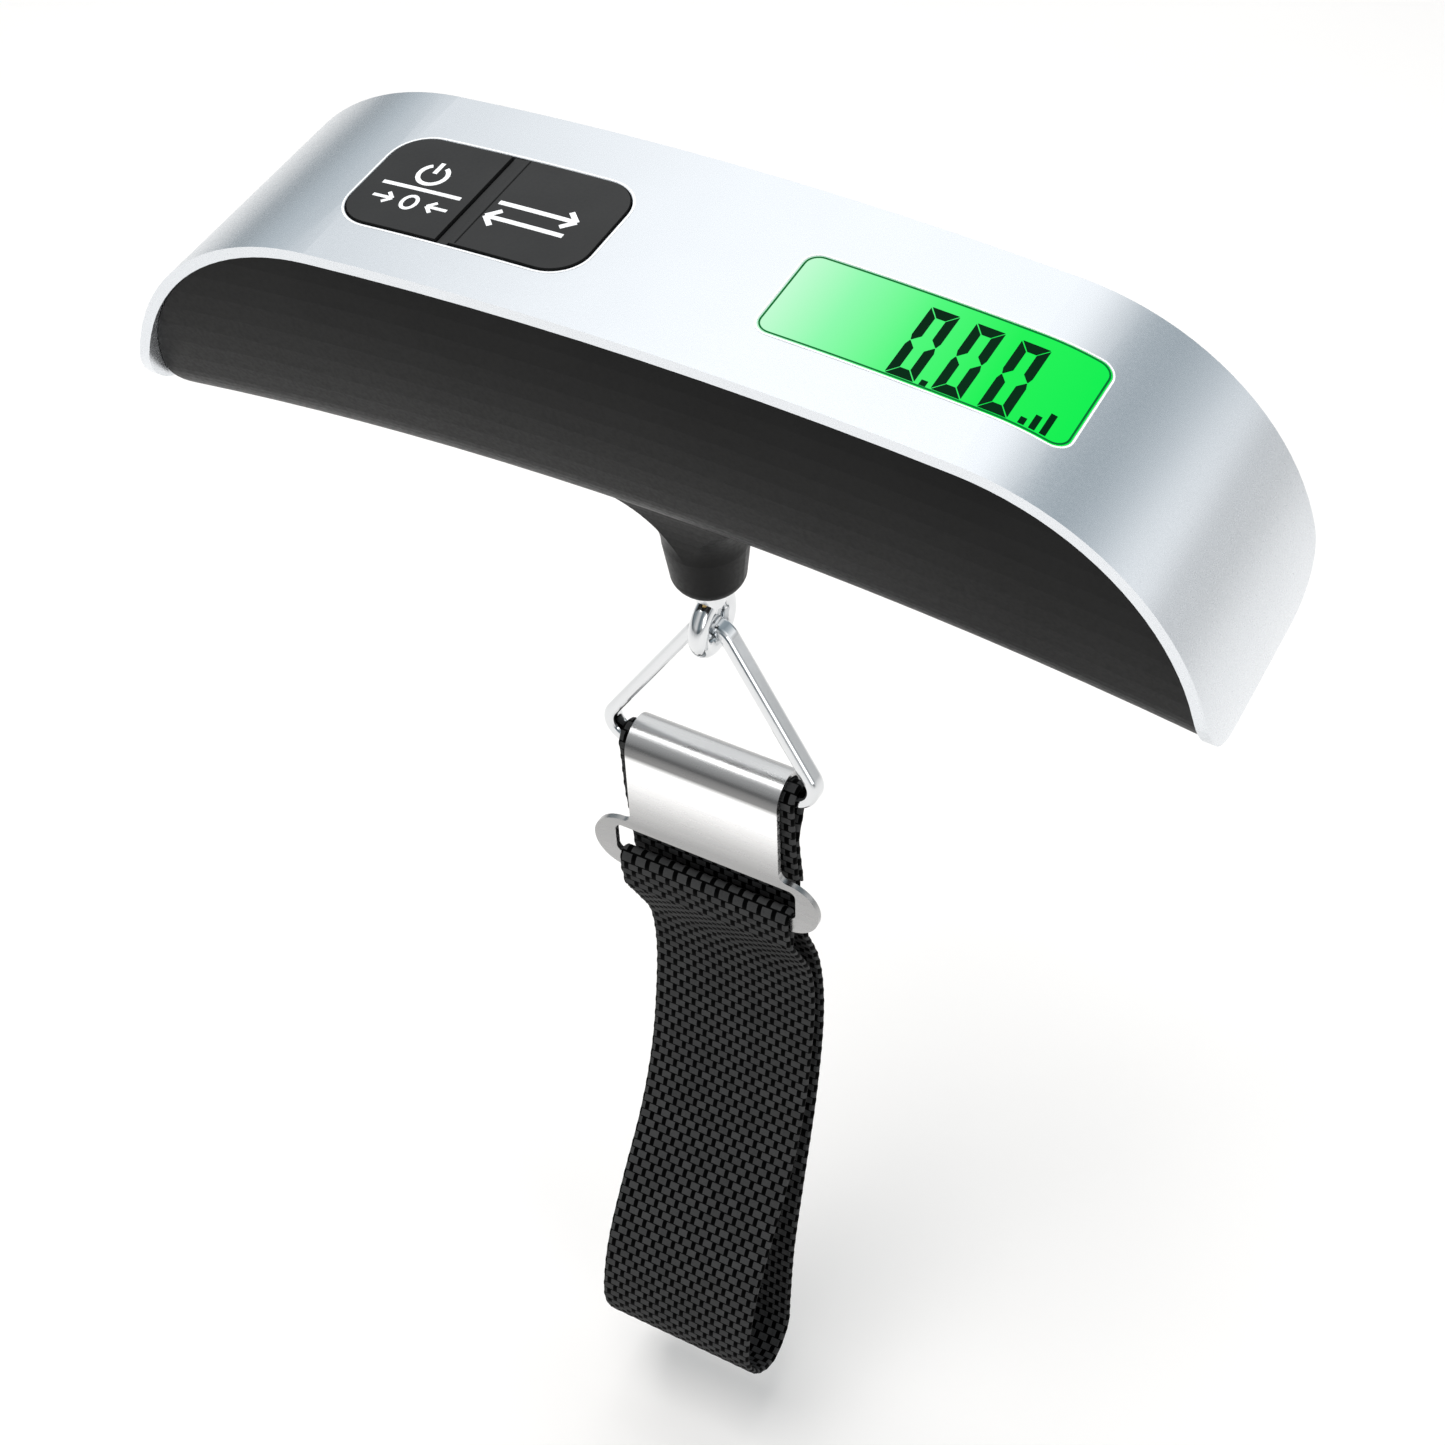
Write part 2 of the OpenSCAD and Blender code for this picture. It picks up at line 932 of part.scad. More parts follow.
module hook_curl() {
    intersection() {
        difference() {
            circle(r = hook_out, $fn = mid_fn);
            circle(r = hook_in, $fn = mid_fn);
        }
        union() {
            translate([-2 * hook_out, 0])
                square([4 * hook_out, 2 * hook_out]);
            polygon([
                [0, 0], [2 * hook_out, 0],
                2 * hook_out * [cos(hook_lip), sin(hook_lip)]
            ]);
        }
    }
}

// Flat of the hook plate: a shank, two ears and the slot between them
module hook_flat() {
    difference() {
        union() {
            translate([-plate_w / 2, -slot_v])
                square([plate_w, slot_v]);
            translate([-ear_x, -ear_v - ear_r])
                square([2 * ear_x, 2 * ear_r]);
            for (s = [-1, 1])
                translate([s * ear_x, -ear_v])
                    circle(r = ear_r, $fn = mid_fn);
            for (s = [-1, 1])
                scale([s, 1])
                    translate([plate_w / 2, ear_r - ear_v])
                        difference() {
                            translate([0, -0.2])
                                square([shoulder_r, shoulder_r]);
                            translate([shoulder_r, shoulder_r])
                                circle(r = shoulder_r, $fn = small_fn);
                        }
        }
        translate([0, -slot_v])
            round_rect(2 * slot_half_w, 2 * slot_half_h, slot_r);
    }
}

module hook_plate() {
    color("#c4c6c8")
    at_plate()
        union() {
            along_x(plate_w)
                hook_curl();
            translate([0, -hook_in, 0])
                rotate([90, 0, 0])
                    linear_extrude(plate_t)
                        hook_flat();
        }
}

// Webbing: a smooth curve through its points, thickened to a band
function spline(p, i, t) =
    let (
        a = p[max(i - 1, 0)],
        b = p[i],
        c = p[i + 1],
        d = p[min(i + 2, len(p) - 1)]
    )
    0.5 * (2 * b + (c - a) * t + (2 * a - 5 * b + 4 * c - d) * t ^ 2
        + (3 * b - a - 3 * c + d) * t ^ 3);

function run_points(from, to) = [
    for (i = [from : to - 1], k = [0 : steps - 1]) spline(webbing, i, k / steps),
    webbing[to]
];

function unit(v) = v / norm(v);

function spline_dir(p, i, t) =
    let (
        a = p[max(i - 1, 0)],
        b = p[i],
        c = p[i + 1],
        d = p[min(i + 2, len(p) - 1)]
    )
    unit(c - a + 2 * (2 * a - 5 * b + 4 * c - d) * t + 3 * (3 * b - a - 3 * c + d) * t ^ 2);

function run_tangents(from, to) = [
    for (i = [from : to - 1], k = [0 : steps - 1]) spline_dir(webbing, i, k / steps),
    spline_dir(webbing, to - 1, 1)
];

// Across the webbing, towards the back on the rear run
function rear_of(t) = [-t.y, t.x];

function band(p, t, half) = concat(
    [for (i = [0 : len(p) - 1]) p[i] + half * rear_of(t[i])],
    [for (i = [len(p) - 1 : -1 : 0]) p[i] - half * rear_of(t[i])]
);

// Direction from the bar at one step of the loop, from the front over the top to its end
function loop_dir(i, turn) =
    let (a = 180 + (turn - 180) * i / loop_steps)
    [cos(a), sin(a)];

module webbing_run(from, to) {
    color("#161617")
    along_x(strap_w)
        polygon(band(run_points(from, to), run_tangents(from, to), strap_t / 2));
}

// The webbing's end goes round the bar and is sewn back on the rear run
module strap_bar_loop() {
    bar = [bar_y, bar_z];
    sewn = strap_t / 2 + sewn_gap;
    join = [webbing[0].x + sewn, webbing[0].y - 0.4];
    turn = atan2(join.y - bar.y, join.x - bar.x) + acos(loop_in / norm(join - bar));
    sewn_run = run_points(0, 2);
    sewn_dir = run_tangents(0, 2);
    last = len(sewn_run) - 1;
    inner = concat(
        [webbing[0] + [strap_t / 2, 0]],
        [for (i = [0 : loop_steps]) bar + loop_in * loop_dir(i, turn)],
        [join],
        [for (i = [1 : last]) sewn_run[i] + sewn * rear_of(sewn_dir[i])]
    );
    outer = concat(
        [webbing[0] - [strap_t / 2, 0]],
        [for (i = [0 : loop_steps]) bar + loop_out * loop_dir(i, turn)],
        [for (i = [1 : last]) sewn_run[i] + (sewn + strap_t) * rear_of(sewn_dir[i])]
    );
    color("#161617")
    along_x(strap_w)
        polygon(concat(outer, [for (i = [len(inner) - 1 : -1 : 0]) inner[i]]));
}

module strap_rear_run() {
    webbing_run(0, rear_end);
}

module strap_bottom_bend() {
    webbing_run(rear_end, bend_end);
}

module strap_front_run() {
    webbing_run(bend_end, len(webbing) - 1);
}

module strap_slot_loop() {
    color("#161617")
    at_plate()
        translate([0, -plate_mid, -bar_v])
            along_x(strap_w)
                difference() {
                    union() {
                        round_rect(
                            plate_t + 2 * (wrap_gap + strap_t),
                            2 * (bar_half + wrap_gap + strap_t),
                            plate_t / 2 + wrap_gap + strap_t - 0.1
                        );
                        translate([-strap_t, bar_v - wrap_leg])
                            square([2 * strap_t, wrap_leg - bar_v - bar_half - wrap_gap - strap_t / 2]);
                    }
                    round_rect(
                        plate_t + 2 * wrap_gap,
                        2 * (bar_half + wrap_gap),
                        wrap_gap
                    );
                }
}

// A row of short stitches across the webbing, standing just proud of both faces
module stitch_row(at, thickness) {
    count = floor((strap_w - 4) / stitch_pitch);
    for (i = [0 : count])
        translate([(i - count / 2) * stitch_pitch, at.x, at.y])
            rotate([90, 0, 0])
                cylinder(r = stitch_r, h = thickness + 0.3, center = true, $fn = 16);
}

module rear_stitching() {
    color("#2b2b2d")
    for (k = [1, 2])
        stitch_row([webbing[k].x + strap_t / 2, webbing[k].y + 2.4], 2 * strap_t);
}

module front_stitching() {
    color("#2b2b2d")
    at_plate()
        for (v = [27.2, 28.4])
            stitch_row([-plate_mid, -v], 2 * strap_t);
}

top_cover();
cover_tape();
deck();
deck_screws();
housing();
display_window();
lcd_glass();
lcd_backlight();
lcd_pins();
circuit_board();
controller_chip();
board_screws();
key_switches();
key_frame();
key_power();
plunger_power();
key_unit();
plunger_unit();
load_cell();
strain_gauges();
gauge_wires();
load_cell_screws();
stem_bush();
eye_bolt();
thrust_washer();
lock_nut();
cell_holder();
coin_cell();
contact_positive();
contact_negative();
battery_door();
triangle_ring();
hook_plate();
strap_bar_loop();
strap_rear_run();
strap_bottom_bend();
strap_front_run();
strap_slot_loop();
rear_stitching();
front_stitching();
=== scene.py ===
import json
import math

import bpy
from mathutils import Matrix, Vector


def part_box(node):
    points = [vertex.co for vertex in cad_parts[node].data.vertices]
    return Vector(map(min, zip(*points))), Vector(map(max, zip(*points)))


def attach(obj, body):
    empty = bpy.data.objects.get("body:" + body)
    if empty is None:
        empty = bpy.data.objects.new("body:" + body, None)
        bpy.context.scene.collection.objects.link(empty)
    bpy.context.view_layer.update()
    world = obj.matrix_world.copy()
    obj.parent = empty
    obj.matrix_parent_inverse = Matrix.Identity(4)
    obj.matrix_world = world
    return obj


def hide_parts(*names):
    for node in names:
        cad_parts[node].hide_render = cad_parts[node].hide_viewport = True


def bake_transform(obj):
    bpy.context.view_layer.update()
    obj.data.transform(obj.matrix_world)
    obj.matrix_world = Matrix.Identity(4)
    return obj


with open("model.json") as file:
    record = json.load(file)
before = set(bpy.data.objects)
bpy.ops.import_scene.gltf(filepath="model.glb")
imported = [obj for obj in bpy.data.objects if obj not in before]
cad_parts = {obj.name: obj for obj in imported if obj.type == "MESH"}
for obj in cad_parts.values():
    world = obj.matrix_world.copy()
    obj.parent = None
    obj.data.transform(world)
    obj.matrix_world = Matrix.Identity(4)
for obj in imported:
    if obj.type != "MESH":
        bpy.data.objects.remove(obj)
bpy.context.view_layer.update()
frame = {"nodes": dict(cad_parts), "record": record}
MM = 0.001
nodes = frame["nodes"]

# ---------------------------------------------------------------- sizes, in mm, as in part.scad
TOP_R = 480.0
END_R = 35.5
END_X = 39.5
END_Z = -37.26
JOIN_X = 42.65
BAR = Vector((-2.77, -88.7548))
PLATE_MID = 3.34
PLATE_LEAN = math.radians(2.0)
SLOT_BAR_V = 23.65
STRAP_W = 28.0
STRAP_T = 1.0
LOOP_MID_R = 2.09
LOOP_FROM, LOOP_TO, LOOP_STEPS = -46, 180, 24
SEWN_GAP = 0.02

# Middle line of the webbing in the Y-Z plane, from the bar down the back and up the front
WEBBING = [
    (-4.75, -92), (-4.7, -99), (-4, -107), (-3.6, -114), (-2.2, -121), (0.8, -130),
    (2, -140), (1.3, -151), (-1.8, -166), (-7.2, -184), (-11.2, -198), (-13.4, -211),
    (-14.8, -218.5), (-19.8, -222), (-25, -218), (-28.2, -210), (-27.4, -202.5),
    (-24.2, -194), (-18.4, -185), (-10.6, -174), (-5.2, -162), (-1.9, -148), (-0.9, -139),
    (-1.6, -131), (-4.2, -124.5), (-7.1, -118.3),
]
# The webbing's own piece ends at this point, and the end that follows the hook plate starts
SPLIT = 21
# The sewn tail behind the bar's loop starts at this step of the first run
TAIL_FROM = 8


# ---------------------------------------------------------------- camera, lights and floor
CAMERA_AXES = [(0.87785, 0.47655, -0.04771), (-0.32882, 0.67213, 0.66341),
               (0.34821, -0.56669, 0.74673)]
CAMERA_PLACE = (127.584, -206.909, 190.445)
LENS = 65.04
FLOOR_HALF = 3.0
FLOOR_Z = -0.236


def add_camera():
    """Camera at the photograph's angle; its axes are its right, its up and its back."""
    data = bpy.data.cameras.new("camera")
    data.lens = LENS
    data.sensor_width = 36.0
    cam = bpy.data.objects.new("camera", data)
    bpy.context.collection.objects.link(cam)
    turn = Matrix(CAMERA_AXES).transposed().to_4x4()
    cam.matrix_world = Matrix.Translation(Vector(CAMERA_PLACE) * MM) @ turn
    bpy.context.scene.camera = cam


def add_area(name, place, target, size, power):
    data = bpy.data.lights.new(name, "AREA")
    data.shape = "RECTANGLE"
    data.size, data.size_y = size
    data.energy = power
    light = bpy.data.objects.new(name, data)
    light.location = place
    aim = Vector(target) - Vector(place)
    light.rotation_euler = aim.to_track_quat("-Z", "Y").to_euler()
    bpy.context.collection.objects.link(light)


# The studio's brightness by direction: a place from 0 to 1 along each axis, and its tone.
# The three tones of a direction are multiplied.
DOME = {
    "X": [(0.0, 0.42), (0.09, 0.44), (0.14, 0.48), (0.23, 0.90), (0.30, 1.12), (0.47, 1.10),
          (0.55, 0.72), (0.60, 0.38), (0.70, 0.33), (0.78, 0.55), (0.85, 1.05), (0.91, 1.0),
          (1.0, 0.7)],
    "Y": [(0.0, 0.60), (0.50, 0.60), (0.62, 1.0), (1.0, 1.0)],
    "Z": [(0.0, 0.95), (0.47, 0.90), (0.50, 0.52), (0.54, 0.58), (0.60, 1.0), (1.0, 1.0)],
}


def cool(value):
    """Tone of one part of the dome: the darker it is, the bluer."""
    blue = 0.2 * max(0.0, 0.8 - value)
    return (value * (1 - 1.6 * blue), value, value * (1 + blue), 1)


def multiplied(tree, color, other=None, fixed=None):
    """Product of a colour and another socket, or of a colour and a fixed colour."""
    mix = tree.nodes.new("ShaderNodeMix")
    mix.data_type, mix.blend_type = "RGBA", "MULTIPLY"
    mix.inputs["Factor"].default_value = 1.0
    tree.links.new(color, mix.inputs[6])
    if other:
        tree.links.new(other, mix.inputs[7])
    else:
        mix.inputs[7].default_value = fixed
    return mix.outputs[2]


def graded_world():
    """A soft studio dome: bright above and behind, darker in front and round the horizon."""
    world = bpy.data.worlds.new("studio")
    bpy.context.scene.world = world
    world.use_nodes = True
    tree = world.node_tree
    coord = tree.nodes.new("ShaderNodeTexCoord")
    split = tree.nodes.new("ShaderNodeSeparateXYZ")
    tree.links.new(coord.outputs["Generated"], split.inputs["Vector"])
    product = None
    for axis, stops in DOME.items():
        scale = tree.nodes.new("ShaderNodeMapRange")
        scale.inputs["From Min"].default_value = -1.0
        ramp = tree.nodes.new("ShaderNodeValToRGB")
        band = ramp.color_ramp
        tone = cool if axis == "X" else grey
        band.elements[0].position, band.elements[0].color = stops[0][0], tone(stops[0][1])
        band.elements[1].position, band.elements[1].color = stops[-1][0], tone(stops[-1][1])
        for place, value in stops[1:-1]:
            band.elements.new(place).color = tone(value)
        tree.links.new(split.outputs[axis], scale.inputs["Value"])
        tree.links.new(scale.outputs["Result"], ramp.inputs["Fac"])
        if product is None:
            product = ramp.outputs["Color"]
        else:
            product = multiplied(tree, product, other=ramp.outputs["Color"])
    tinted = multiplied(tree, product, fixed=(0.975, 0.99, 1.0, 1))
    tree.links.new(tinted, tree.nodes["Background"].inputs["Color"])
    tree.nodes["Background"].inputs["Strength"].default_value = 1.06


def add_studio():
    add_area("key_light", (-0.15, -0.05, 0.8), (0, 0, -0.05), (0.7, 0.6), 6.5)
    add_area("fill_light", (0.8, -0.35, 0.2), (0, 0, -0.06), (0.4, 0.5), 1.2)
    graded_world()
    bpy.context.scene.view_settings.view_transform = "Standard"
    half = FLOOR_HALF
    mesh = bpy.data.meshes.new("floor")
    corners = [(-half, -half, 0), (half, -half, 0), (half, half, 0), (-half, half, 0)]
    mesh.from_pydata(corners, [], [(0, 1, 2, 3)])
    floor = bpy.data.objects.new("floor", mesh)
    floor.location.z = FLOOR_Z
    bpy.context.collection.objects.link(floor)
    floor.data.materials.append(plain_floor())


# ---------------------------------------------------------------- materials
class Graph:
    """A material's node tree, with short ways to add and join nodes."""

    def __init__(self, name):
        self.mat = bpy.data.materials.new(name)
        self.mat.use_nodes = True
        self.tree = self.mat.node_tree
        self.shader = self.tree.nodes["Principled BSDF"]
        self.coord = self.add("ShaderNodeTexCoord").outputs["Object"]

    def add(self, kind, **settings):
        node = self.tree.nodes.new(kind)
        for key, value in settings.items():
            setattr(node, key, value)
        return node

    def link(self, a, b):
        self.tree.links.new(a, b)

    def set(self, **values):
        for key, value in values.items():
            self.shader.inputs[key.replace("_", " ")].default_value = value

    def stretched(self, factors):
        mapping = self.add("ShaderNodeMapping")
        mapping.inputs["Scale"].default_value = factors
        self.link(self.coord, mapping.inputs["Vector"])
        return mapping.outputs["Vector"]

    def noise(self, scale, detail=4.0, vector=None):
        node = self.add("ShaderNodeTexNoise")
        node.inputs["Scale"].default_value = scale
        node.inputs["Detail"].default_value = detail
        self.link(vector or self.coord, node.inputs["Vector"])
        return node.outputs["Fac"]

    def ramp(self, fac, stops):
        node = self.add("ShaderNodeValToRGB")
        band = node.color_ramp
        band.elements[0].position, band.elements[0].color = stops[0]
        band.elements[1].position, band.elements[1].color = stops[-1]
        for place, color in stops[1:-1]:
            band.elements.new(place).color = color
        self.link(fac, node.inputs["Fac"])
        return node.outputs["Color"]

    def spread(self, fac, low, high, start=0.35, stop=0.65):
        node = self.add("ShaderNodeMapRange")
        limits = (start, stop, low, high)
        for key, value in zip(("From Min", "From Max", "To Min", "To Max"), limits):
            node.inputs[key].default_value = value
        self.link(fac, node.inputs["Value"])
        return node.outputs["Result"]

    def bump(self, height, distance):
        node = self.add("ShaderNodeBump")
        node.inputs["Strength"].default_value = 1.0
        node.inputs["Distance"].default_value = distance
        self.link(height, node.inputs["Height"])
        self.link(node.outputs["Normal"], self.shader.inputs["Normal"])

    def axis(self, name):
        node = self.add("ShaderNodeSeparateXYZ")
        self.link(self.coord, node.inputs["Vector"])
        return node.outputs[name]


def grey(v, tint=(1, 1, 1)):
    return (v * tint[0], v * tint[1], v * tint[2], 1)


def surface(name, dark, light, rough, grain, depth, metallic=0.0, streak=None, gloss=0.5):
    """Two tones of one finish over a fine grain, with roughness that varies a little."""
    g = Graph(name)
    vector = g.stretched(streak) if streak else None
    fine = g.noise(grain, 3.0, vector)
    broad = g.noise(grain / 25, 2.0)
    g.link(g.ramp(broad, [(0.35, dark), (0.65, light)]), g.shader.inputs["Base Color"])
    g.link(g.spread(fine, rough[0], rough[1]), g.shader.inputs["Roughness"])
    g.bump(fine, depth)
    g.set(Metallic=metallic, Specular_IOR_Level=gloss)
    return g.mat


def plain_floor():
    pale, paler = (0.985, 0.955, 0.93, 1), (0.995, 0.965, 0.94, 1)
    return surface("floor_paint", pale, paler, (0.7, 0.8), 300, 0.00002)


def display_glow():
    """Backlight seen through the window: pale at the left and vivid at the right."""
    g = Graph("display_glow")
    low, high = (v[0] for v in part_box("display_window"))
    along = g.spread(g.axis("X"), 0.0, 1.0, low, high)
    stops = [
        (0.0, (0.60, 0.96, 0.70, 1)), (0.22, (0.27, 0.95, 0.42, 1)),
        (0.45, (0.07, 0.93, 0.19, 1)), (0.7, (0.005, 0.88, 0.085, 1)),
        (1.0, (0.002, 0.86, 0.075, 1)),
    ]
    tone = g.ramp(along, stops)
    g.link(tone, g.shader.inputs["Emission Color"])
    g.link(g.spread(g.noise(500, 2.0), 0.30, 0.36), g.shader.inputs["Roughness"])
    g.set(Base_Color=(0.0, 0.02, 0.004, 1), Emission_Strength=0.97, Specular_IOR_Level=0.08)
    return g.mat


def webbing_cloth():
    """Black polypropylene: grey yarn crowns in staggered blocks, with the gaps between them
    painted near black as shade.
    """
    g = Graph("webbing_cloth")
    block = g.add("ShaderNodeTexBrick", offset=0.5, offset_frequency=2)
    uv = g.add("ShaderNodeUVMap", uv_map="weave").outputs["UV"]
    g.link(uv, block.inputs["Vector"])
    # Mortar is the painted shade in the gaps between the yarn crowns.
    tones = {"Color1": grey(0.056), "Color2": grey(0.070), "Mortar": grey(0.0006)}
    sizes = {"Scale": 1.0, "Mortar Size": 0.17, "Mortar Smooth": 0.12, "Brick Width": 1.0,
             "Row Height": ROW_UV}
    for key, value in {**tones, **sizes}.items():
        block.inputs[key].default_value = value
    yarn = g.noise(7.0, 3.0, uv)
    mix = g.add("ShaderNodeMix", data_type="RGBA", blend_type="MULTIPLY")
    mix.inputs["Factor"].default_value = 0.6
    g.link(block.outputs["Color"], mix.inputs[6])
    g.link(g.ramp(yarn, [(0.3, grey(0.6)), (0.7, grey(1.0))]), mix.inputs[7])
    g.link(mix.outputs[2], g.shader.inputs["Base Color"])
    g.link(g.spread(yarn, 0.55, 0.75), g.shader.inputs["Roughness"])
    g.bump(yarn, 0.00005)
    g.set(Specular_IOR_Level=0.02)
    return g.mat


def plate_brushing_and_painted_reflection():
    """Brushed plate: lengthwise brushing in the roughness and bump, and painted reflections in the
    base colour by height: light and dark bands on the curl, a white band below the fold, and
    duller grey down to the slot.
    """
    g = Graph("plate_steel")
    low, high = (v[2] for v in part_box("hook_plate"))
    down = g.spread(g.axis("Z"), 1.0, 0.0, low, high)
    # Painted reflection: the plate's tone by height, from the top of the curl (0) down to the slot
    # (1).
    tones = [(0.0, 0.60), (0.04, 0.40), (0.07, 0.20), (0.13, 0.24), (0.16, 0.97),
             (0.30, 0.97), (0.50, 0.55), (0.64, 0.36), (1.0, 0.42)]
    stops = [(place, grey(tone)) for place, tone in tones]
    g.link(g.ramp(down, stops), g.shader.inputs["Base Color"])
    fine = g.noise(900, 3.0, g.stretched((0.08, 1, 1)))
    g.link(g.spread(fine, 0.22, 0.32), g.shader.inputs["Roughness"])
    g.bump(fine, 0.000003)
    g.set(Metallic=1.0)
    return g.mat


def make_materials():
    steel = (0.97, 0.985, 1.0)
    return {
        "cover_silver": surface("cover_paint", (0.775, 0.80, 0.83, 1),
                                (0.785, 0.81, 0.84, 1), (0.24, 0.28), 2600, 0.0000004,
                                metallic=0.92),
        "black_plastic": surface("housing_plastic", grey(0.005), grey(0.007),
                                 (0.36, 0.46), 1800, 0.000004, gloss=0.1),
        "key_plastic": surface("key_plastic", grey(0.018), grey(0.022), (0.36, 0.46), 2200,
                               0.000006, gloss=0.18),
        "inner_plastic": surface("inner_plastic", grey(0.02), grey(0.03), (0.5, 0.6), 900,
                                 0.00001),
        "bright_chrome": surface("bright_chrome", grey(0.74, steel), grey(0.78, steel),
                                 (0.06, 0.12), 700, 0.000002, metallic=1.0),
        # The plate's base colour holds painted reflections.
        "plate_steel": plate_brushing_and_painted_reflection(),
        "screw_steel": surface("screw_steel", grey(0.45), grey(0.5), (0.3, 0.4), 900,
                               0.000005, metallic=1.0),
        "cell_alloy": surface("cell_alloy", grey(0.6), grey(0.66), (0.3, 0.4), 900, 0.000005,
                              metallic=1.0, streak=(0.1, 1, 1)),
        "cell_steel": surface("cell_steel", grey(0.62), grey(0.7), (0.2, 0.3), 900, 0.000004,
                              metallic=1.0),
        "bush_brass": surface("bush_brass", (0.62, 0.42, 0.16, 1), (0.7, 0.5, 0.2, 1),
                              (0.25, 0.35), 900, 0.000004, metallic=1.0),
        "pin_gold": surface("pin_gold", (0.8, 0.6, 0.25, 1), (0.85, 0.66, 0.3, 1),
                            (0.2, 0.3), 900, 0.000004, metallic=1.0),
        "board_green": surface("board_green", (0.01, 0.11, 0.03, 1), (0.02, 0.15, 0.05, 1),
                               (0.25, 0.35), 900, 0.000006),
        "chip": surface("chip_epoxy", grey(0.006), grey(0.01), (0.2, 0.35), 700, 0.00002),
        "tape": surface("tape_film", (0.66, 0.64, 0.56, 1), (0.72, 0.7, 0.62, 1),
                        (0.5, 0.6), 900, 0.00001),
        "gauge_film": surface("gauge_film", (0.55, 0.4, 0.12, 1), (0.62, 0.46, 0.16, 1),
                              (0.4, 0.5), 900, 0.00001),
        "wire_red": surface("wire_red", (0.4, 0.02, 0.01, 1), (0.5, 0.03, 0.02, 1),
                            (0.35, 0.45), 900, 0.00001),
        "diffuser": surface("diffuser", grey(0.8), grey(0.84), (0.4, 0.5), 900, 0.00001),
        "lcd": surface("lcd_glass", (0.25, 0.6, 0.3, 1), (0.28, 0.66, 0.33, 1),
                       (0.08, 0.12), 400, 0.000002),
        "lens": display_glow(),
        "webbing": webbing_cloth(),
        "thread": surface("sewing_thread", grey(0.012), grey(0.03), (0.5, 0.65), 4000,
                          0.00003, streak=(3, 1, 1)),
        # White print for the key legends, and the painted rim highlights round the window and the
        # pad.
        "white_print_and_rim_highlight": surface("white_print_and_rim_highlight", grey(0.82), grey(0.88), (0.4, 0.5), 1500,
                               0.000004),
        "digit_ink": surface("digit_ink", (0.0, 0.012, 0.003, 1), (0.0, 0.018, 0.005, 1),
                             (0.3, 0.4), 900, 0.000002, gloss=0.02),
        "window_ink": surface("window_ink", (0.001, 0.10, 0.02, 1), (0.002, 0.13, 0.03, 1),
                              (0.3, 0.4), 900, 0.000002, gloss=0.02),
        # Painted shade for the gap between the two keys.
        "painted_gap_shade": surface("painted_gap_shade", grey(0.002), grey(0.004), (0.4, 0.5), 900, 0.000002,
                            gloss=0.1),
    }


def dress_nodes(mats):
    for part in frame["record"]["subparts"]:
        obj = nodes[part["node"]]
        obj.data.materials.clear()
        obj.data.materials.append(mats[part["material_slot"]])


# ---------------------------------------------------------------- meshes
def new_piece(name, points, faces, mat, body, smooth=True):
    mesh = bpy.data.meshes.new(name)
    mesh.from_pydata([Vector(p) * MM for p in points], [], faces)
    mesh.polygons.foreach_set("use_smooth", [smooth] * len(faces))
    mesh.update()
    mesh.materials.append(mat)
    obj = bpy.data.objects.new(name, mesh)
    bpy.context.collection.objects.link(obj)
    if body:
        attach(obj, body)
    return obj


def curve_point(pts, i, t):
    """Point at t between pts[i] and the next one, on a smooth curve through them all."""
    a, b = pts[max(i - 1, 0)], pts[i]
    c, d = pts[i + 1], pts[min(i + 2, len(pts) - 1)]
    return 0.5 * (2 * b + (c - a) * t + (2 * a - 5 * b + 4 * c - d) * t * t
                  + (3 * b - a - 3 * c + d) * t * t * t)


def smooth_run(pts, first, last, steps=12):
    out = [curve_point(pts, i, k / steps) for i in range(first, last) for k in range(steps)]
    return out + [pts[last]]


def resample(path, step):
    """The same path with evenly spaced points, and its length."""
    lengths = [0.0]
    for a, b in zip(path, path[1:]):
        lengths.append(lengths[-1] + (b - a).length)
    count = max(2, round(lengths[-1] / step))
    out, j = [], 0
    for k in range(count + 1):
        goal = lengths[-1] * k / count
        while j < len(path) - 2 and lengths[j + 1] < goal:
            j += 1
        span = lengths[j + 1] - lengths[j]
        out.append(path[j].lerp(path[j + 1], (goal - lengths[j]) / span if span else 0.0))
    return out, lengths[-1]


# The weave: columns across, steps of mesh in each, and a row's length along the webbing
COLUMNS = 12
PER_COLUMN = 7
ROW_MM = 1.45
PER_ROW = 5
ROW_UV = 2.4
YARN_LIFT = 0.13
EDGE = 0.25
EDGE_THIN = 0.35
END_THIN = 0.6


def weave(u, row):
    """Height of the yarns' crowns at u columns across and so many rows along, in mm."""
    shift = 0.5 * (math.floor(row) % 2)
    across = abs(math.sin(math.pi * (u + shift))) ** 0.7
    along = abs(math.sin(math.pi * row)) ** 0.6
    return YARN_LIFT * across * along


